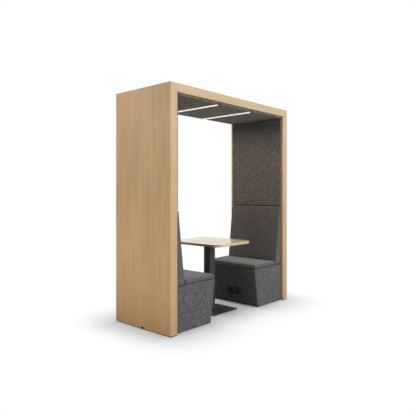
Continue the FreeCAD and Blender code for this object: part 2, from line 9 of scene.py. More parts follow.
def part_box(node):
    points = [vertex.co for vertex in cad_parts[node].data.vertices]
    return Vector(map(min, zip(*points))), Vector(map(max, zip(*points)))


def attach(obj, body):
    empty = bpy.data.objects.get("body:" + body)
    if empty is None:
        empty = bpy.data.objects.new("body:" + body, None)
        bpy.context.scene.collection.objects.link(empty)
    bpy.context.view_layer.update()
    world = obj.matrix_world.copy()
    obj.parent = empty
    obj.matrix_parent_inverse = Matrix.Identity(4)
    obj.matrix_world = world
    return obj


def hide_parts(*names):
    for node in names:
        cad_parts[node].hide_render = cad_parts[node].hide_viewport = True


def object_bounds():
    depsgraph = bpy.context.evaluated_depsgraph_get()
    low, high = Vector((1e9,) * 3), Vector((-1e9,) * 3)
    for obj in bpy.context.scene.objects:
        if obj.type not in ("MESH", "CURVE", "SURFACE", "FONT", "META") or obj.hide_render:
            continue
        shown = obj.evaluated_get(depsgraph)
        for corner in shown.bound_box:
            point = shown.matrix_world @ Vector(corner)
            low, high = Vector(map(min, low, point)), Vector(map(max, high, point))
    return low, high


# Metres, in the frame of the CAD part: +X to the right bench, +Y to the back, +Z up.
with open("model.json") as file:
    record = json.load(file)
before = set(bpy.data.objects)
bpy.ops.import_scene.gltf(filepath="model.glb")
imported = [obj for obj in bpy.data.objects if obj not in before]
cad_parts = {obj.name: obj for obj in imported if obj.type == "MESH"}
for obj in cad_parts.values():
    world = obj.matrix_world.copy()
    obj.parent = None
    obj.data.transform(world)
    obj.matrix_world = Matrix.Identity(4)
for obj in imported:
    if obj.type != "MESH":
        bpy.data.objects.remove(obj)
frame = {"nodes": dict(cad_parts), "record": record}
cad_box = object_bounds()
scene = bpy.context.scene
scene.view_settings.view_transform = "Standard"

# Camera, as solved from the corners of the portal in a square image
image_size = 416
focal_pixels = 446.485
centre_pixel = (209.134, 191.941)
camera_place = (-3.577793, -3.1662, 1.249648)
camera_turn = math.radians(48.4543)
sensor_width = 36.0

# Light and floor, whose cloud is a noise of this scale, detail and roughness
ambient_light = 0.23
softbox_angle = math.radians(28)
softboxes = {
    "left": (0.92, (-1.0, 0.0, 0.42)),
    "front": (1.98, (0.0, -1.0, 0.30)),
    "front_right": (1.0, (0.64, -0.77, 0.25)),
    "right": (1.35, (1.0, 0.0, 1.0)),
    "back": (1.75, (0.0, 1.0, 0.42)),
    "top": (0.40, (0.0, 0.05, 1.0)),
}
bar_light_watts = 6.3
bar_light_spread = math.radians(166.0)
bar_light_width = 0.018
bar_light_gap = 0.004
bar_light_colour = (1.0, 0.70, 0.44)
floor_size = 14.0
floor_roughness = 0.9
floor_tone = (0.608, 0.640, 0.672)
floor_cloud = (3.0, 2.0, 0.5)
floor_mottle = (0.995, 1.005)
floor_bounce = (0.20, 0.55)
floor_bounce_fade = (0.1, 1.0)
floor_lift = 0.06
floor_fade = (0.0, 0.5)
floor_fade_shares = (1.12, 0.88, 1.0)
# Painted contact shadow on the floor under the walls
floor_painted_shadow_tone = 0.05
floor_mirror_fade = (0.4, 7.0)

# Power module, measured across, up and out of its face
bezel_thickness = 0.003
module_cutout_height = 0.0526
module_gap = 0.0005
usb_place = 0.015
usb_spacing = 0.014
usb_shell = (0.0131, 0.0061)
usb_wall = 0.0005
usb_floor = -0.0058
usb_rim = 0.0027
usb_tongue = (0.0114, 0.0044, 0.0083)
usb_tongue_lift = 0.0008
socket_place = -0.044
socket_pin_spacing = 0.019
socket_recess_radius = 0.017
socket_floor = -0.009
contact_radius = 0.0023
contact_wall = 0.0006
contact_gap = 0.0004
contact_back = -0.016
earth_clip = (0.005, 0.0012, 0.0085)
button_place = 0.053
button_face = 0.005
dot_radius = 0.0016
dot_sink = 0.0002
dot_rise = 0.0003
dot_bevel = 0.8
dot_core = 0.1
circle_points = 24
pin_rounding = 0.3

# Padded pieces
seat_edge = 0.010
seat_fall = 0.006
seat_fall_reach = 0.045
seat_crown = 0.002
seat_pull = 0.002
backrest_edge = 0.008
backrest_crown = 0.002
backrest_pull = 0.0015
backrest_top_depth = 0.040
lining_edge = 0.003
lining_crown = 0.0008
lining_pull = 0.0005
skirt_corner = 0.012
skirt_corner_steps = 6
skirt_skin = 0.005
skirt_bottom_profile = ((0.0, 0.010), (0.0, 0.005), (0.001, 0.002), (0.004, 0.0))
skirt_top_profile = ((0.007, 0.0), (0.003, 0.0015), (0.001, 0.005), (0.0, 0.010), (0.0, 0.016))
skirt_step = 0.03
skirt_wave = 0.0006
skirt_wave_scale = 9.0
welt_drop = 0.006
welt_rise = 0.012
welt_inset = 0.0022
lining_foot_gap = 0.003
gap_strip_reach = (0.007, 0.006)
gap_strip_depth = 0.018
brush_gap = 0.0004
brush_depth = 0.004
brush_setback = 0.006
swell = 0.003
voxel = 0.005
edge_hold = 0.006
edge_cuts = (0.0, 0.2, 0.42, 0.68, 1.0)
pad_step = 0.02
inflate_frames = 20
inflate_pressure = 4.0
cloth_quality = 4
shortest_move = 1e-9

# Oak; each pattern is a noise, given by its stretch along the grain, scale, detail and roughness
veneer_colour = (0.580, 0.364, 0.172)
# Darker than the panel's oak, as painted shade: posts and beams keep it on faces that look neither in nor
# out, mainly the front, to offset the strong front light
lipping_front_shade_colour = (0.413, 0.283, 0.139)
# Greyer, paler oak than the rest, a painted whitish sheen on the lacquered top; the table's long edges are
# tinted back towards warmer oak
table_sheen_colour = (0.430, 0.390, 0.270)
plywood_colour = (0.52, 0.39, 0.25)
veneer_contrast = 0.15
solid_contrast = 0.12
table_contrast = 0.08
oak_roughness = (0.36, 0.50)
oak_shine = 0.5
table_roughness = (0.20, 0.28)
table_shine = 0.45
table_lacquer = 0.28
lacquer_roughness = 0.12
oak_patterns = {
    "clouds": (0.30, 4.0, 2.0, 0.5),
    "bands": (0.05, 26.0, 3.0, 0.6),
    "streaks": (0.025, 110.0, 4.0, 0.65),
    "lines": (0.025, 420.0, 2.0, 0.5),
    "pores": (0.035, 900.0, 2.0, 0.5),
    "hue": (0.12, 16.0, 3.0, 0.6),
}
oak_weights = {"clouds": 0.30, "bands": 0.14, "streaks": 0.38, "lines": 0.18}
oak_stops = (0.37, 0.50, 0.63)
oak_warm_shares = (1.25, 1.75, 2.4)
oak_pale_shares = (1.0, 1.2, 1.5)
oak_hue = [(0.36, (1.0, 1.0, 0.95)), (0.64, (1.0, 0.995, 1.04))]
# Painted sheen: every oak grows paler and cooler towards the top and warmer towards the floor, standing in
# for reflections of the bright surroundings
painted_sheen_by_height = [(0.0, (1.0, 0.945, 0.905)), (0.5, (1.0, 1.0, 1.0)), (1.0, (1.0, 1.04, 1.10))]
pore_stops = [(0.60, (0.0, 0.0, 0.0)), (0.72, (1.0, 1.0, 1.0))]
pore_share = 0.35
pore_tint = (0.62, 0.52, 0.44)
streak_relief = 0.4
oak_bump = (0.25, 0.0003)

# Tints of the faces that look one way, and how square to that way they have to be
facing_stops = [(0.35, (0.0, 0.0, 0.0)), (0.85, (1.0, 1.0, 1.0))]
# Darker, redder table ends where the grain runs out: partly the real darker end grain, partly painted shade
# from the benches they face
end_grain_and_shade_tint = (0.62, 0.38, 0.25)
# The long edges of the table get back the warmer oak that the top loses to its painted sheen
long_edge_tint = (1.16, 0.95, 0.74)
# Painted light: the inner faces of posts and beams are made more orange, a painted warm glow of light
# bounced inside the pod
painted_bounce_tint = (1.34, 1.10, 0.86)
# The outer faces of posts and beams are lightened back to about the panel's oak
outer_tint = (1.38, 1.27, 1.22)

# Felt and wool: colour, warmth of the stray fibres and, where not the usual ones, the depths of the melange
felt_looks = {
    "lining_felt": ((0.087, 0.088, 0.090), 0.05, (0.24, 2.2)),
    "ceiling_felt": ((0.132, 0.119, 0.100), 0.05),
    "seat_wool": ((0.081, 0.0815, 0.0825), 0.03),
    # Darker than the seat wool: partly a real dark welt, partly painted shade in the seam
    "welt_and_seam_shade": ((0.034, 0.034, 0.034), 0.03),
    # Near black: painted shadow in the gap between each backrest and the pad above it
    "gap_shadow_felt": ((0.010, 0.010, 0.010), 0.03),
}
felt_depths = (0.40, 1.85)
felt_surface = {"Roughness": 0.95, "Sheen_Weight": 0.12, "Sheen_Roughness": 0.5, "Specular_IOR_Level": 0.15}
felt_patterns = {
    "clumps": (1.0, 95.0, 2.0, 0.6),
    "fibres": (1.0, 520.0, 3.0, 0.65),
    "streaks": (0.12, 170.0, 2.0, 0.5),
    "hue": (1.0, 240.0, 2.0, 0.5),
}
felt_weights = {"clumps": 0.64, "fibres": 0.26, "streaks": 0.10}
felt_stops = (0.36, 0.50, 0.64)
felt_hue_stops = (0.35, 0.65)
clump_relief = 0.5
felt_bump = (0.6, 0.0012)

# Steel and plastic: kind of finish, colour, roughness and, for metal, the axis of its drawn lines
hard_looks = {
    "black_steel": ("coat", (0.025, 0.025, 0.0215), 0.52),
    "zinc_steel": ("metal", (0.60, 0.60, 0.58), 0.35, "Y"),
    "bright_steel": ("metal", (0.80, 0.80, 0.78), 0.22, "Y"),
    "light_profile": ("metal", (0.72, 0.72, 0.70), 0.30, "Y"),
    "circuit_strip": ("plastic", (0.80, 0.80, 0.76), 0.5),
    "black_plastic": ("plastic", (0.010, 0.010, 0.011), 0.36),
    "white_plastic": ("plastic", (0.70, 0.70, 0.68), 0.4),
    "foot_plastic": ("plastic", (0.015, 0.015, 0.015), 0.55),
}
hard_finishes = {
    "coat": {
        "constants": {"Specular_IOR_Level": 0.25},
        "patterns": {"grain": (1.0, 1400.0, 2.0, 0.5), "cloud": (1.0, 14.0, 3.0, 0.5)},
        "mottle": (0.88, 1.12),
        "gloss": ("cloud", 0.06, 0.06),
        "bump": (0.3, 0.0002),
    },
    "plastic": {
        "constants": {},
        "patterns": {"grain": (1.0, 2200.0, 2.0, 0.5), "cloud": (1.0, 60.0, 3.0, 0.6)},
        "mottle": (0.85, 1.15),
        "gloss": ("cloud", 0.06, 0.06),
        "bump": (0.2, 0.0001),
    },
    "metal": {
        "constants": {"Metallic": 1.0},
        "patterns": {"grain": (0.02, 1800.0, 2.0, 0.6), "cloud": (1.0, 40.0, 3.0, 0.6)},
        "mottle": (0.85, 1.08),
        "gloss": ("grain", 0.08, 0.10),
        "bump": (0.1, 0.0001),
    },
}
mottle_stops = (0.3, 0.7)

# Opal covers of the light bars
opal_colour = (0.9, 0.88, 0.85)
opal_roughness = 0.45
opal_patterns = {"cloud": (1.0, 30.0, 2.0, 0.5)}
opal_mottle = (0.97, 1.0)
glow_colour = (1.0, 0.89, 0.80)
glow_strength = 0.8


class Nodes:
    """Short calls that build one node tree."""

    def __init__(self, owner):
        owner.use_nodes = True
        self.tree = owner.node_tree

    def add(self, kind, sockets=None, **settings):
        node = self.tree.nodes.new("ShaderNode" + kind)
        for name, value in settings.items():
            setattr(node, name, value)
        for name, value in (sockets or {}).items():
            self.feed(node.inputs[name], value)
        return node

    def feed(self, socket, value):
        if isinstance(value, bpy.types.NodeSocket):
            self.tree.links.new(value, socket)
        else:
            socket.default_value = value

    def maths(self, operation, first, second=0.0):
        return self.add("Math", {0: first, 1: second}, operation=operation).outputs[0]

    def weighted(self, *terms):
        """Sum of values, each times its weight."""
        total = 0.0
        for value, weight in terms:
            total = self.add("Math", {0: value, 1: weight, 2: total}, operation="MULTIPLY_ADD").outputs[0]
        return total

    def stretched(self, scale):
        place = self.add("TexCoord").outputs["Object"]
        return self.add("Mapping", {"Vector": place, "Scale": scale}).outputs[0]

    def noise(self, place, scale, detail, roughness):
        sockets = {"Vector": place, "Scale": scale, "Detail": detail, "Roughness": roughness}
        return self.add("TexNoise", sockets).outputs[0]

    def patterns(self, rows, axis):
        """Noises drawn out along one axis; a row gives the stretch, scale, detail and roughness of one."""
        return {
            name: self.noise(self.stretched(along_axis(axis, stretch)), *settings)
            for name, (stretch, *settings) in rows.items()
        }

    def ramp(self, value, stops):
        node = self.add("ValToRGB", {0: value})
        elements = node.color_ramp.elements
        while len(elements) < len(stops):
            elements.new(1.0)
        for element, (position, colour) in zip(elements, stops):
            element.position = position
            element.color = (*colour, 1.0)
        return node.outputs[0]

    def mix(self, share, first, second, blend="MIX"):
        sockets = {0: share, 6: first, 7: second}
        return self.add("Mix", sockets, data_type="RGBA", blend_type=blend).outputs[2]

    def times(self, first, second):
        """Product of two colours, of which the second may be a plain one."""
        if not isinstance(second, bpy.types.NodeSocket):
            second = (*second, 1.0)
        return self.mix(1.0, first, second, "MULTIPLY")

    def mottled(self, value, colour, shares):
        """A colour that varies between two shares of itself."""
        return self.ramp(value, [(stop, tint(colour, share)) for stop, share in zip(mottle_stops, shares)])

    def spread(self, value, low, high):
        sockets = {"Value": value, "From Min": 0.0, "From Max": 1.0, "To Min": low, "To Max": high}
        return self.add("MapRange", sockets).outputs[0]

    def bump(self, height, strength, distance):
        sockets = {"Height": height, "Strength": strength, "Distance": distance}
        return self.add("Bump", sockets).outputs[0]

    def height_share(self):
        """0 at the floor, 1 at the top of the pod."""
        place = self.add("TexCoord").outputs["Object"]
        height = self.add("SeparateXYZ", {0: place}).outputs["Z"]
        return self.maths("DIVIDE", height, cad_box[1].z)

    def facing(self, axis, way):
        """1 on faces that look along an axis: away from the middle of the pod for way 1, to it for -1."""
        coordinates = self.add("TexCoord").outputs
        normal = self.add("SeparateXYZ", {0: coordinates["Normal"]}).outputs[axis]
        place = self.add("SeparateXYZ", {0: coordinates["Object"]}).outputs[axis]
        outward = self.maths("MULTIPLY", normal, self.maths("SIGN", place))
        return self.ramp(self.maths("MULTIPLY", outward, way), facing_stops)

    def seen_rays(self):
        """Two masks: camera and transmission rays, which see the surroundings directly, and glossy rays."""
        path = self.add("LightPath").outputs
        direct = self.maths("MAXIMUM", path["Is Camera Ray"], path["Is Transmission Ray"])
        return direct, path["Is Glossy Ray"]


def new_surface(name, **constants):
    """A material and its shader; the constants go straight onto the shader's own sockets."""
    material = bpy.data.materials.new(name)
    nodes = Nodes(material)
    shader = nodes.tree.nodes["Principled BSDF"]
    for socket, value in constants.items():
        shader.inputs[socket.replace("_", " ")].default_value = value
    return material, nodes, shader.inputs


def grey(value):
    return (value, value, value)


def tint(colour, factor):
    return tuple(channel * factor for channel in colour)


# Materials

def along_axis(axis, share):
    """Scale that draws a pattern out along one axis."""
    scale = [1.0, 1.0, 1.0]
    scale["XYZ".index(axis)] = share
    return tuple(scale)


def oak(
        name, grain_axis, colour, contrast,
        roughness=oak_roughness, shine=oak_shine, lacquer=0.0, toned=()):
    """Straight-grained oiled oak: clouds, bands, fine streaks and short dark pores along one axis, under a
    painted sheen that makes it paler and cooler towards the top.

    Each entry of toned is an axis and a way, as Nodes.facing takes them, and the tint of the faces there.
    """
    material, nodes, surface = new_surface(
        name, Specular_IOR_Level=shine, Coat_Weight=lacquer, Coat_Roughness=lacquer_roughness)
    pattern = nodes.patterns(oak_patterns, grain_axis)
    figure = nodes.weighted(*((pattern[part], weight) for part, weight in oak_weights.items()))
    warm = tuple(channel * (1.0 - contrast * share) for channel, share in zip(colour, oak_warm_shares))
    pale = tuple(channel * (1.0 + contrast * share) for channel, share in zip(colour, oak_pale_shares))
    tone = nodes.ramp(figure, list(zip(oak_stops, (warm, colour, pale))))
    tone = nodes.times(tone, nodes.ramp(pattern["hue"], oak_hue))
    # Painted sheen: paler and cooler higher up
    tone = nodes.times(tone, nodes.ramp(nodes.height_share(), painted_sheen_by_height))
    pores = nodes.ramp(pattern["pores"], pore_stops)
    tone = nodes.mix(nodes.maths("MULTIPLY", pores, pore_share), tone, nodes.times(tone, pore_tint))
    for axis, way, toning in toned:
        tone = nodes.mix(nodes.facing(axis, way), tone, nodes.times(tone, toning))
    nodes.feed(surface["Base Color"], tone)
    nodes.feed(surface["Roughness"], nodes.spread(pattern["streaks"], *roughness))
    relief = nodes.maths("SUBTRACT", nodes.maths("MULTIPLY", pattern["streaks"], streak_relief), pores)
    nodes.feed(surface["Normal"], nodes.bump(relief, *oak_bump))
    return material


def felt(name, colour, warmth, depths=felt_depths):
    """Melange wool felt: light and dark fibres, soft clumps and a faint vertical streak."""
    material, nodes, surface = new_surface(name, **felt_surface)
    pattern = nodes.patterns(felt_patterns, "Z")
    blend = nodes.weighted(*((pattern[part], weight) for part, weight in felt_weights.items()))
    dark, light = (tint(colour, depth) for depth in depths)
    tone = nodes.ramp(blend, list(zip(felt_stops, (dark, colour, light))))
    hues = ((1.0 - warmth, 1.0, 1.0 + warmth), (1.0 + warmth, 1.0, 1.0 - warmth))
    hue = nodes.ramp(pattern["hue"], list(zip(felt_hue_stops, hues)))
    nodes.feed(surface["Base Color"], nodes.times(tone, hue))
    fuzz = nodes.maths("ADD", pattern["fibres"], nodes.maths("MULTIPLY", pattern["clumps"], clump_relief))
    nodes.feed(surface["Normal"], nodes.bump(fuzz, *felt_bump))
    return material


def hard(name, kind, colour, roughness, axis="Z"):
    """Coated steel, moulded plastic or bare metal: a cloudy tone and a fine grain, drawn out in metal."""
    finish = hard_finishes[kind]
    material, nodes, surface = new_surface(name, **finish["constants"])
    pattern = nodes.patterns(finish["patterns"], axis)
    nodes.feed(surface["Base Color"], nodes.mottled(pattern["cloud"], colour, finish["mottle"]))
    source, below, above = finish["gloss"]
    nodes.feed(surface["Roughness"], nodes.spread(pattern[source], roughness - below, roughness + above))
    nodes.feed(surface["Normal"], nodes.bump(pattern["grain"], *finish["bump"]))
    return material


def opal(name, glow, strength):
    """Glowing opal cover with a faint cloud in its light."""
    material, nodes, surface = new_surface(
        name, Base_Color=(*opal_colour, 1.0), Roughness=opal_roughness, Emission_Strength=strength)
    cloud = nodes.patterns(opal_patterns, "Z")["cloud"]
    nodes.feed(surface["Emission Color"], nodes.mottled(cloud, glow, opal_mottle))
    return material


def lipping(name, grain_axis, face_axis):
    """Solid oak toned by the way its faces look: faces that look neither in nor out, mainly the front, keep
    a darker copy of the oak as painted shade against the strong front light; outer faces are lightened to
    about the panel's oak; inner faces are made more orange, a painted warm glow of light bounced inside the
    pod.
    """
    # Outer faces lightened to the panel's oak, inner faces given a painted warm glow of bounced light
    toned = ((face_axis, 1.0, outer_tint), (face_axis, -1.0, painted_bounce_tint))
    return oak(name, grain_axis, lipping_front_shade_colour, solid_contrast, toned=toned)


materials = {
    "oak_veneer_upright": oak("oak_veneer_upright", "Z", veneer_colour, veneer_contrast),
    "oak_veneer_roof": oak("oak_veneer_roof", "X", veneer_colour, veneer_contrast),
    "oak_post": lipping("oak_post", "Z", "X"),
    "oak_beam": lipping("oak_beam", "X", "Z"),
    "oak_table": oak(
        "oak_table", "X", table_sheen_colour, table_contrast, table_roughness, table_shine, table_lacquer,
        toned=(("X", 1.0, end_grain_and_shade_tint), ("Y", 1.0, long_edge_tint))),
    "plywood": oak("plywood", "Y", plywood_colour, solid_contrast),
    "opal_cover": opal("opal_cover", glow_colour, glow_strength),
}
materials.update({name: felt(name, *look) for name, look in felt_looks.items()})
materials.update({name: hard(name, *look) for name, look in hard_looks.items()})

# Materials of slots and nodes that aren't called as their slot is
slot_materials = {"oak_veneer": "oak_veneer_upright", "oak_solid": "oak_post", "table_oak": "oak_table"}
node_materials = {
    "roof_top_panel": "oak_veneer_roof",
    "roof_front_beam": "oak_beam",
    "roof_rear_beam": "oak_beam",
}


def dress_nodes():
    """Every CAD node takes the material of its slot, or its own where the grain runs another way."""
    for subpart in frame["record"]["subparts"]:
        node = frame["nodes"][subpart["node"]]
        slot_name = subpart["material_slot"]
        name = node_materials.get(node.name, slot_materials.get(slot_name, slot_name))
        for slot in node.material_slots:
            slot.material = materials[name]


# Mesh makers

def new_piece(name, points, faces, material):
    mesh = bpy.data.meshes.new(name)
    mesh.from_pydata(points, [], faces)
    piece = bpy.data.objects.new(name, mesh)
    scene.collection.objects.link(piece)
    mesh.materials.append(material)
    tidy_faces(mesh)
    return piece


def tidy_faces(mesh):
    work = bmesh.new()
    work.from_mesh(mesh)
    bmesh.ops.recalc_face_normals(work, faces=work.faces)
    work.to_mesh(mesh)
    work.free()
    mesh.polygons.foreach_set("use_smooth", [True] * len(mesh.polygons))


def mirrored_piece(piece, name):
    mesh = piece.data.copy()
    mesh.name = name
    mesh.transform(Matrix.Scale(-1.0, 4, (1, 0, 0)))
    mesh.flip_normals()
    twin = bpy.data.objects.new(name, mesh)
    scene.collection.objects.link(twin)
    return twin


def baked(piece):
    """Replaces a piece's mesh by what its modifiers make of it."""
    graph = bpy.context.evaluated_depsgraph_get()
    mesh = bpy.data.meshes.new_from_object(piece.evaluated_get(graph))
    piece.modifiers.clear()
    piece.data = mesh
    return mesh


def cuts_along(length, edge, step):
    """Places along one side of a pad: close together over the rounded edges, even between them."""
    near = [edge * share for share in edge_cuts]
    count = max(1, round((length - 2 * edge) / step))
    middle = [edge + (length - 2 * edge) * number / count for number in range(1, count)]
    far = [length - place for place in reversed(near)]
    return near + middle + far


def box_grid(cuts):
    """Points and quads of a closed box surface, cut at the given places along its three directions."""
    counts = [len(places) - 1 for places in cuts]
    numbers = {}
    points = []
    quads = []

    def point(step):
        if step not in numbers:
            numbers[step] = len(points)
            points.append(Vector([places[number] for places, number in zip(cuts, step)]))
        return numbers[step]

    for axis in range(3):
        first, second = (axis + 1) % 3, (axis + 2) % 3
        for end in (0, counts[axis]):
            for i in range(counts[first]):
                for j in range(counts[second]):
                    ring = []
                    for corner in ((0, 0), (1, 0), (1, 1), (0, 1)):
                        step = [0, 0, 0]
                        step[axis] = end
                        step[first] = i + corner[0]
                        step[second] = j + corner[1]
                        ring.append(point(tuple(step)))
                    quads.append(ring)
    return points, quads


def rounded(point, size, edge):
    """Moves a point of a box surface onto the same box with rounded edges."""
    core = Vector([min(max(value, edge), side - edge) for value, side in zip(point, size)])
    offset = point - core
    return core + offset.normalized() * edge if offset.length > 0 else point


def pad_points(points, size, edge, crown, pull):
    """Rounded, crowned pad: its sides are drawn in between the corners, its face swells in the middle."""
    shaped = []
    for point in points:
        moved = rounded(point, size, edge)
        across = 2 * moved.x / size[0] - 1
        along = 2 * moved.y / size[1] - 1
        height_share = moved.z / size[2]
        dome = (1 - across ** 4) * (1 - along ** 4)
        moved.z += crown * (dome - 1) * height_share
        moved.x -= pull * across ** 3 * (1 - along ** 2)
        moved.y -= pull * along ** 3 * (1 - across ** 2)
        shaped.append(moved)
    return shaped


def make_pad(name, size, edge, crown, pull, place, material):
    """A pad of the given size; place maps its points, across, along and out of its back, into the pod."""
    cuts = [cuts_along(side, edge, pad_step) for side in size]
    points, quads = box_grid(cuts)
    shaped = pad_points(points, size, edge, crown, pull)
    return new_piece(name, [place(point) for point in shaped], quads, material)


def inflate(piece, held, cap):
    """Swells a closed pad under pressure; held points stay and the rest move by cap at most."""
    remesh = piece.modifiers.new("even", "REMESH")
    remesh.mode = "VOXEL"
    remesh.voxel_size = voxel
    material = piece.data.materials[0]
    even = baked(piece)
    even.materials.clear()
    even.materials.append(material)
    rest = [vertex.co.copy() for vertex in even.vertices]
    group = piece.vertex_groups.new(name="held")
    group.add([number for number, place in enumerate(rest) if held(place)], 1.0, "REPLACE")
    cloth = piece.modifiers.new("cloth", "CLOTH")
    cloth.settings.use_pressure = True
    cloth.settings.uniform_pressure_force = inflate_pressure
    cloth.settings.effector_weights.gravity = 0.0
    cloth.settings.vertex_group_mass = "held"
    cloth.settings.quality = cloth_quality
    for number in range(1, inflate_frames + 1):
        scene.frame_set(number)
    graph = bpy.context.evaluated_depsgraph_get()
    swollen = [vertex.co.copy() for vertex in piece.evaluated_get(graph).data.vertices]
    piece.modifiers.remove(cloth)
    piece.vertex_groups.clear()
    scene.frame_set(1)
    for vertex, before, after in zip(even.vertices, rest, swollen):
        move = after - before
        vertex.co = before + move * min(1.0, cap / max(move.length, shortest_move))
    even.polygons.foreach_set("use_smooth", [True] * len(even.polygons))


def on_edge(distances):
    """True where a point is close to two faces or more; distances are those to the faces."""
    return sum(distance < edge_hold for distance in distances) > 1


def add_subdivision(piece):
    smooth = piece.modifiers.new("smooth", "SUBSURF")
    smooth.levels = 1
    smooth.render_levels = 1


def settle(piece, node):
    """A padded piece rides on the pod and stands for its CAD solid."""
    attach(piece, "pod")
    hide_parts(node)


# Seat cushions and backrests

def swell_and_settle(cushion, held, twin_name, node_end):
    """Swells a right cushion, mirrors it to the left and settles both."""
    inflate(cushion, held, swell)
    twin = mirrored_piece(cushion, twin_name)
    for piece, side in ((cushion, "right"), (twin, "left")):
        add_subdivision(piece)
        settle(piece, side + node_end)


def seat_cushions():
    """Thick pads whose front edges fall a little."""
    low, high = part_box("right_seat_cushion")
    inset = swell
    size = (high.x - low.x - inset, high.y - low.y - 2 * inset, high.z - low.z - inset)

    def place(point):
        fall = seat_fall * max(0.0, 1.0 - point.x / seat_fall_reach) ** 2 * point.z / size[2]
        return Vector((low.x + inset + point.x, low.y + inset + point.y, low.z + point.z - fall))

    def held(point):
        start = place(Vector((0.0, 0.0, 0.0)))
        end = place(Vector(size))
        faces = (point.x - start.x, point.y - start.y, end.y - point.y, end.z - point.z)
        return on_edge(faces) or point.z < low.z + seat_edge or point.x > high.x - seat_edge

    wool = materials["seat_wool"]
    cushion = make_pad("right_seat_cushion_soft", size, seat_edge, seat_crown, seat_pull, place, wool)
    swell_and_settle(cushion, held, "left_seat_cushion_soft", "_seat_cushion")


def backrest_cushions():
    """Wedges that lean back: deep at the seat, thin at the top."""
    low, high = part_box("right_backrest_cushion")
    foot_depth = high.x - low.x
    inset = swell
    size = (high.y - low.y - 2 * inset, high.z - low.z - inset, foot_depth - inset)

    def place(point):
        rise = point.y / size[1]
        depth_share = 1.0 + (backrest_top_depth / foot_depth - 1.0) * rise
        return Vector((high.x - point.z * depth_share, low.y + inset + point.x, low.z + point.y))

    def held(point):
        rise = point.z - low.z
        start = place(Vector((0.0, rise, size[2])))
        end = place(Vector((size[0], size[1], size[2])))
        faces = (point.x - start.x, point.y - start.y, end.y - point.y, end.z - point.z)
        return on_edge(faces) or point.x > high.x - voxel or rise < backrest_edge

    wool = materials["seat_wool"]
    cushion = make_pad(
        "right_backrest_soft", size, backrest_edge, backrest_crown, backrest_pull, place, wool)
    swell_and_settle(cushion, held, "left_backrest_soft", "_backrest_cushion")


# Felt lining

def wall_pads():
    low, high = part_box("right_wall_pad")
    foot = low.z + lining_foot_gap
    size = (high.y - low.y, high.z - foot, high.x - low.x)

    def place(point):
        return Vector((high.x - point.z, low.y + point.x, foot + point.y))

    lining = materials["lining_felt"]
    pad = make_pad("right_wall_pad_soft", size, lining_edge, lining_crown, lining_pull, place, lining)
    twin = mirrored_piece(pad, "left_wall_pad_soft")
    settle(pad, "right_wall_pad")
    settle(twin, "left_wall_pad")
    for side, name in ((1, "right"), (-1, "left")):
        # A near-black strip paints the shadow in the gap under each pad
        finish_detail(gap_shadow_strip(name + "_lining_gap_shadow", side), "pod")


def wall_frame(side):
    """Maps lengths along a wall, up it and out from the middle of the pod to a point on one side."""
    def place(along, up, out):
        return Vector((side * out, along, up))

    return place


def gap_shadow_strip(name, side):
    """Near-black felt behind the gap between a backrest and the pad above it: a painted shadow in that gap.
    """
    low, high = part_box("right_wall_pad")
    below, above = gap_strip_reach
    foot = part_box("right_backrest_cushion")[1].z - below
    size = (high.y - low.y - gap_strip_depth, low.z + above - foot, gap_strip_depth)
    middle = ((low.y + high.y) / 2, foot + size[1] / 2, high.x - gap_strip_depth)
    return pin(name, wall_frame(side), size, middle, materials["gap_shadow_felt"])


def ceiling_pads():
    for part in ("left", "middle", "right"):
        node = "ceiling_pad_" + part
        low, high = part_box(node)
        size = tuple(high - low)

        def place(point):
            return Vector((low.x + point.x, low.y + point.y, high.z - point.z))

        lining = materials["ceiling_felt"]
        pad = make_pad(node + "_soft", size, lining_edge, lining_crown, lining_pull, place, lining)
        settle(pad, node)


# Bench skirts: one skin round the front and both sides of each bench

def even_places(low, high, step, kept=()):
    """Places from low to high at about one step, with the kept places among them."""
    stops = sorted([low, high, *kept])
    places = [low]
    for start, end in zip(stops, stops[1:]):
        count = max(1, round((end - start) / step))
        places += [start + (end - start) * number / count for number in range(1, count + 1)]
    return places


def skirt_plan(front, inset, wall, near, far, front_places, side_count):
    """Plan of the skin at one height: along the near side, round the front and back along the far side."""
    corner = skirt_corner - inset
    turn_start = front + skirt_corner
    side = [turn_start + (wall - turn_start) * number / side_count for number in range(side_count + 1)]
    angles = [math.pi / 2 * number / skirt_corner_steps for number in range(1, skirt_corner_steps)]
    turn = [(turn_start - corner * math.sin(angle), corner * (1 - math.cos(angle))) for angle in angles]
    plan = [(x, near + inset) for x in reversed(side)]
    plan += [(x, near + inset + y) for x, y in turn]
    plan += [(front + inset, y) for y in front_places]
    plan += [(x, far - inset - y) for x, y in reversed(turn)]
    return plan + [(x, far - inset) for x in side]


def skirt_rows(bottom, top, kept):
    """Height and inset of every row of the skin, rolled in at its bottom and top edges."""
    rows = [(bottom + rise, inset) for rise, inset in skirt_bottom_profile]
    upper = [(top - drop, inset) for drop, inset in skirt_top_profile]
    rows += [(height, 0.0) for height in even_places(rows[-1][0], upper[0][0], skirt_step, kept)[1:-1]]
    return rows + upper


def bench_skirt(name, side, opening):
    """The skin of one bench; opening is the low and high corner of a hole in its front, or None."""
    low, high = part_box("right_bench_skirt")
    kept = [corner[1] for corner in opening or ()]
    rows = skirt_rows(low.z, high.z, kept)
    skin = wrapped_skin(name, side, rows, opening, materials["seat_wool"])
    ripple(skin.data)
    return thickened(skin)


def bench_welt_and_shade(name, side):
    """Dark welt that lies a little behind the seam between a bench and its cushions; its dark wool is
    partly a real welt and partly painted shade in the seam.
    """
    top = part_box("right_bench_skirt")[1].z
    rows = [(top - welt_drop, welt_inset), (top, welt_inset), (top + welt_rise, welt_inset)]
    return thickened(wrapped_skin(name, side, rows, None, materials["welt_and_seam_shade"]))


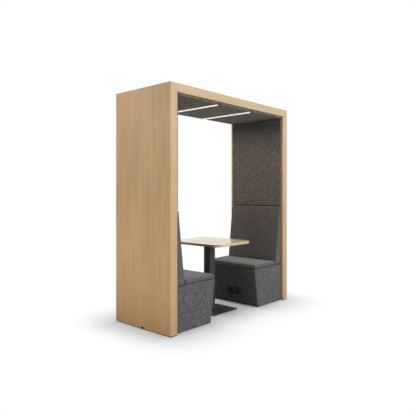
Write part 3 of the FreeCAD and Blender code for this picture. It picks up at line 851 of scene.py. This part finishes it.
def wrapped_skin(name, side, rows, opening, material):
    """Sheet round the front and both sides of one bench, through rows of height and inset."""
    low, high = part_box("right_bench_skirt")
    rake = bench_rake()
    side_count = round((high.x - low.x) / skirt_step)
    kept = [corner[0] for corner in opening or ()]
    front_places = even_places(low.y + skirt_corner, high.y - skirt_corner, skirt_step, kept)
    points = []
    for height, inset in rows:
        front = low.x + rake * (high.z - height)
        plan = skirt_plan(front, inset, high.x, low.y, high.y, front_places, side_count)
        points += [Vector((side * x, y, height)) for x, y in plan]
    width = len(points) // len(rows)
    faces = []
    for row in range(len(rows) - 1):
        for step in range(width - 1):
            corner = row * width + step
            quad = (corner, corner + 1, corner + width + 1, corner + width)
            middle = (points[quad[0]] + points[quad[2]]) / 2
            if opening is None or not inside_opening(middle, opening, low.x + rake * (high.z - middle.z)):
                faces.append(quad)
    skin = new_piece(name, points, faces, material)
    face_outwards(skin, Vector((side * high.x, (low.y + high.y) / 2, (low.z + high.z) / 2)))
    return skin


def thickened(skin):
    solid = skin.modifiers.new("thickness", "SOLIDIFY")
    solid.thickness = skirt_skin
    solid.offset = -1.0
    baked(skin)
    return skin


def bench_rake():
    """How far the bench front moves in X for each metre of height."""
    press = press_axis()
    return press.z / press.x


def press_axis():
    """Direction in which the light switch goes in: square to the bench front."""
    joints = frame["record"]["behaviour"]["joints"]
    return Vector(next(joint["axis"] for joint in joints if joint["name"] == "light_switch_press"))


def inside_opening(point, opening, front):
    on_front = abs(point.x - front) < skirt_skin
    return on_front and opening[0][0] < point.y < opening[1][0] and opening[0][1] < point.z < opening[1][1]


def face_outwards(piece, middle):
    """Turns the faces of an open skin so that they look away from its middle."""
    away = sum((face.center - middle).dot(face.normal) * face.area for face in piece.data.polygons)
    if away < 0:
        piece.data.flip_normals()


def ripple(mesh):
    """Faint waves of cloth that is drawn over boards."""
    waves = [skirt_wave * noise.noise(vertex.co * skirt_wave_scale) for vertex in mesh.vertices]
    moves = [vertex.normal * wave for vertex, wave in zip(mesh.vertices, waves)]
    for vertex, move in zip(mesh.vertices, moves):
        vertex.co += move


def bench_skirts():
    low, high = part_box("power_housing")
    middle = module_frame()(0.0, 0.0, 0.0).z
    reach = module_cutout_height / 2
    opening = ((low.y - module_gap, middle - reach), (high.y + module_gap, middle + reach))
    right = bench_skirt("right_bench_skirt_soft", 1, opening)
    settle(right, "right_bench_skirt")
    left = bench_skirt("left_bench_skirt_soft", -1, None)
    settle(left, "left_bench_skirt")
    # Each bench gets a dark welt at its seam, partly painted shade
    for side, name in ((1, "right"), (-1, "left")):
        finish_detail(bench_welt_and_shade(name + "_bench_welt_and_shade", side), "pod")


# Power module: metal shells, contacts and a white dot on the light switch, laid on the raked bench front;
# the dot and the upper USB tongue are partly painted glints

def module_frame():
    """Maps lengths across, up and out of the module's face to a point."""
    low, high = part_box("power_bezel")
    outward = -press_axis()
    upward = Vector((outward.z, 0.0, -outward.x))
    across = Vector((0.0, -1.0, 0.0))
    seat = (low + high) / 2 - outward * bezel_thickness / 2

    def place(x, y, z):
        return seat + across * x + upward * y + outward * z

    return place


def sleeve(name, rings, material):
    """Closed tube through the given rings of points, the last one joined to the first."""
    count = len(rings[0])
    points = [point for ring in rings for point in ring]
    faces = []
    for row in range(len(rings)):
        after = (row + 1) % len(rings)
        for step in range(count):
            turn = (step + 1) % count
            near, far = row * count, after * count
            faces.append((near + step, near + turn, far + turn, far + step))
    return new_piece(name, points, faces, material)


def oblong(place, x, y, width, height, z):
    corners = ((-1, -1), (1, -1), (1, 1), (-1, 1))
    return [place(x + a * width / 2, y + b * height / 2, z) for a, b in corners]


def circle(place, x, y, radius, z):
    angles = [2 * math.pi * number / circle_points for number in range(circle_points)]
    return [place(x + radius * math.cos(angle), y + radius * math.sin(angle), z) for angle in angles]


def pin(name, place, size, middle, material):
    """Small bar with softened edges; size is across, up and out, middle is the middle of its back."""
    edge = min(size) * pin_rounding
    points, quads = box_grid([cuts_along(side, edge, max(size)) for side in size])
    spots = [rounded(point, size, edge) for point in points]
    x, y, z = middle[0] - size[0] / 2, middle[1] - size[1] / 2, middle[2]
    return new_piece(name, [place(x + spot.x, y + spot.y, z + spot.z) for spot in spots], quads, material)


def usb_ports(place):
    """A drawn steel shell and a contact tongue in each port; the upper tongue is white, partly a real white
    tongue and partly a painted glint.
    """
    inner = tuple(length - 2 * usb_wall for length in usb_shell)
    profile = ((usb_shell, usb_floor), (usb_shell, usb_rim), (inner, usb_rim), (inner, usb_floor))
    # The upper tongue is white as a painted glint, partly real; the lower one is black
    for side, name, slot in ((1, "upper", "white_plastic"), (-1, "lower", "black_plastic")):
        y = side * usb_spacing / 2
        rings = [oblong(place, usb_place, y, *size, depth) for size, depth in profile]
        shell = flat(sleeve(name + "_usb_shell", rings, materials["bright_steel"]))
        finish_detail(shell, "pod")
        foot = (usb_place, y + usb_tongue_lift, usb_floor)
        tongue = pin(name + "_usb_tongue", place, usb_tongue, foot, materials[slot])
        finish_detail(tongue, "pod")


def socket_contacts(place):
    """Contact sleeves in the pin holes and two earth clips at the rim of the recess."""
    steel = materials["bright_steel"]
    outer, inner = contact_radius, contact_radius - contact_wall
    front = socket_floor - contact_gap
    profile = ((outer, contact_back), (outer, front), (inner, front), (inner, contact_back))
    for side, name in ((-1, "far"), (1, "near")):
        x = socket_place + side * socket_pin_spacing / 2
        rings = [circle(place, x, 0.0, radius, depth) for radius, depth in profile]
        finish_detail(sleeve(name + "_socket_contact", rings, steel), "pod")
    for side, name in ((-1, "lower"), (1, "upper")):
        y = side * (socket_recess_radius - earth_clip[1])
        foot = (socket_place, y, socket_floor + contact_gap)
        clip = pin(name + "_earth_clip", place, earth_clip, foot, steel)
        finish_detail(clip, "pod")


def cable_brushes():
    """Black brush that closes each cable notch at the foot of a wall."""
    for opening in frame["record"]["physics"]["openings"]:
        if opening["name"].endswith("cable_notch"):
            low, high = (Vector(corner) for corner in opening["box_m"])
            side = math.copysign(1.0, low.x)
            size = (high.y - low.y, high.z - brush_gap, brush_depth)
            back = cad_box[1].x - brush_setback - brush_depth
            middle = ((low.y + high.y) / 2, size[1] / 2 + brush_gap, back)
            bristles = materials["foot_plastic"]
            brush = pin(opening["name"] + "_brush", wall_frame(side), size, middle, bristles)
            finish_detail(brush, "pod")


def switch_dot_with_glint(place):
    """Low domed white dot on the light switch, which rides with its button: partly a real marking, partly a
    painted glint.
    """
    back, top = button_face - dot_sink, button_face + dot_rise
    profile = (
        (1.0, back), (1.0, button_face + dot_rise / 2), (dot_bevel, top), (dot_core, top), (dot_core, back))
    rings = [circle(place, button_place, 0.0, dot_radius * share, height) for share, height in profile]
    dot = sleeve("switch_dot_and_glint", rings, materials["white_plastic"])
    finish_detail(dot, "light_switch")


def flat(piece):
    """Flat shading, for sheet metal."""
    piece.data.polygons.foreach_set("use_smooth", [False] * len(piece.data.polygons))
    return piece


def finish_detail(piece, body):
    """A small piece of its own rides on a body."""
    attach(piece, body)


def power_details():
    place = module_frame()
    usb_ports(place)
    socket_contacts(place)
    switch_dot_with_glint(place)


# Camera, light and floor

def place_camera():
    camera = bpy.data.objects.new("camera", bpy.data.cameras.new("camera"))
    scene.collection.objects.link(camera)
    camera.location = camera_place
    camera.rotation_euler = Euler((math.pi / 2, 0.0, -camera_turn))
    camera.data.sensor_width = sensor_width
    camera.data.lens = focal_pixels / image_size * sensor_width
    camera.data.shift_x = (image_size / 2 - centre_pixel[0]) / image_size
    camera.data.shift_y = (centre_pixel[1] - image_size / 2) / image_size
    scene.camera = camera


def light_world():
    """White surroundings to look at, and a weaker even light from them."""
    world = bpy.data.worlds.new("studio")
    scene.world = world
    nodes = Nodes(world)
    ambient = nodes.tree.nodes["Background"]
    ambient.inputs["Color"].default_value = (1.0, 1.0, 1.0, 1.0)
    ambient.inputs["Strength"].default_value = ambient_light
    white = nodes.add("Background", {"Color": (1.0, 1.0, 1.0, 1.0), "Strength": 1.0})
    seen = nodes.maths("MAXIMUM", *nodes.seen_rays())
    both = nodes.add("MixShader", {0: seen, 1: ambient.outputs[0], 2: white.outputs[0]})
    nodes.feed(nodes.tree.nodes["World Output"].inputs["Surface"], both.outputs[0])


def add_softboxes():
    """Wide, low lights round the pod and one above it; each has its strength and the way towards it."""
    for name, (strength, towards) in softboxes.items():
        lamp = bpy.data.lights.new("softbox_" + name, "SUN")
        lamp.energy = strength
        lamp.angle = softbox_angle
        softbox = bpy.data.objects.new("softbox_" + name, lamp)
        softbox.rotation_euler = Vector(towards).to_track_quat("Z", "Y").to_euler()
        scene.collection.objects.link(softbox)


def add_bar_lights():
    """One warm strip of light just under each opal cover."""
    low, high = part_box("light_diffusers")
    bar_offset = (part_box("ceiling_pad_middle")[1].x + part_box("ceiling_pad_right")[0].x) / 2
    for side in (-1, 1):
        lamp = bpy.data.lights.new("bar_light", "AREA")
        lamp.shape = "RECTANGLE"
        lamp.size = bar_light_width
        lamp.size_y = high.y - low.y
        lamp.energy = bar_light_watts
        lamp.color = bar_light_colour
        lamp.spread = bar_light_spread
        bar = bpy.data.objects.new("bar_light", lamp)
        bar.location = (side * bar_offset, (low.y + high.y) / 2, low.z - bar_light_gap)
        bar.visible_camera = False
        bar.visible_glossy = False
        scene.collection.objects.link(bar)


def lay_floor():
    """White floor that keeps the pod's shadow, has a painted contact shadow under the walls and fades to
    plain white further out.
    """
    half = floor_size / 2
    corners = [(-half, -half, 0.0), (half, -half, 0.0), (half, half, 0.0), (-half, half, 0.0)]
    material, nodes, surface = new_surface("floor", Roughness=floor_roughness, Specular_IOR_Level=0.0)
    place = nodes.add("TexCoord").outputs["Object"]
    direct, mirrored = nodes.seen_rays()
    pale = nodes.mottled(nodes.noise(place, *floor_cloud), floor_tone, floor_mottle)
    # Painted contact shadow: the floor is dark right under the walls
    pale = nodes.mix(painted_shadow_under_walls(nodes, place), pale, (*grey(floor_painted_shadow_tone), 1.0))
    bounce_share = distance_fade(nodes, place, floor_bounce_fade)
    bounce = nodes.mix(bounce_share, *[(*grey(tone), 1.0) for tone in floor_bounce])
    nodes.feed(surface["Base Color"], nodes.mix(direct, bounce, pale))
    lift = nodes.add("Emission", {"Strength": nodes.maths("MULTIPLY", direct, floor_lift)})
    shaded = nodes.add("AddShader", {0: nodes.tree.nodes["Principled BSDF"].outputs[0], 1: lift.outputs[0]})
    white = nodes.add("Emission", {"Strength": 1.0})
    share = nodes.weighted((direct, distance_fade(nodes, place, floor_fade)),
                           (mirrored, distance_fade(nodes, place, floor_mirror_fade)))
    both = nodes.add("MixShader", {0: share, 1: shaded.outputs[0], 2: white.outputs[0]})
    nodes.feed(nodes.tree.nodes["Material Output"].inputs["Surface"], both.outputs[0])
    floor = new_piece("floor", corners, [(0, 1, 2, 3)], material)


def painted_shadow_under_walls(nodes, place):
    """1 on the floor right under the two walls, which shows only through the thin gap there and is painted
    dark as a contact shadow.
    """
    spot = nodes.add("VectorMath", {0: place}, operation="ABSOLUTE").outputs[0]
    across, along = nodes.add("SeparateXYZ", {0: spot}).outputs[:2]
    inner = nodes.maths("GREATER_THAN", across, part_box("right_inner_panel")[0].x)
    outer = nodes.maths("LESS_THAN", across, cad_box[1].x)
    between = nodes.maths("LESS_THAN", along, cad_box[1].y)
    return nodes.maths("MULTIPLY", nodes.maths("MULTIPLY", inner, outer), between)


def distance_fade(nodes, place, reach):
    """0 close to the pod's footprint, 1 where the floor has become plain white; reach is from and to."""
    size = (cad_box[1].x, cad_box[1].y, 1.0)
    outside = nodes.add("VectorMath", {0: place}, operation="ABSOLUTE").outputs[0]
    outside = nodes.add("VectorMath", {0: outside, 1: size}, operation="SUBTRACT").outputs[0]
    outside = nodes.add("VectorMath", {0: outside, 1: (0.0, 0.0, 0.0)}, operation="MAXIMUM").outputs[0]
    outside = nodes.add("VectorMath", {0: outside, 1: floor_fade_shares}, operation="MULTIPLY").outputs[0]
    distance = nodes.add("VectorMath", {0: outside}, operation="LENGTH").outputs["Value"]
    return nodes.add("MapRange", {
        "Value": distance, "From Min": reach[0], "From Max": reach[1],
        "To Min": 0.0, "To Max": 1.0}, interpolation_type="SMOOTHSTEP").outputs[0]


dress_nodes()
seat_cushions()
backrest_cushions()
wall_pads()
ceiling_pads()
bench_skirts()
power_details()
cable_brushes()
place_camera()
light_world()
add_softboxes()
add_bar_lights()
lay_floor()
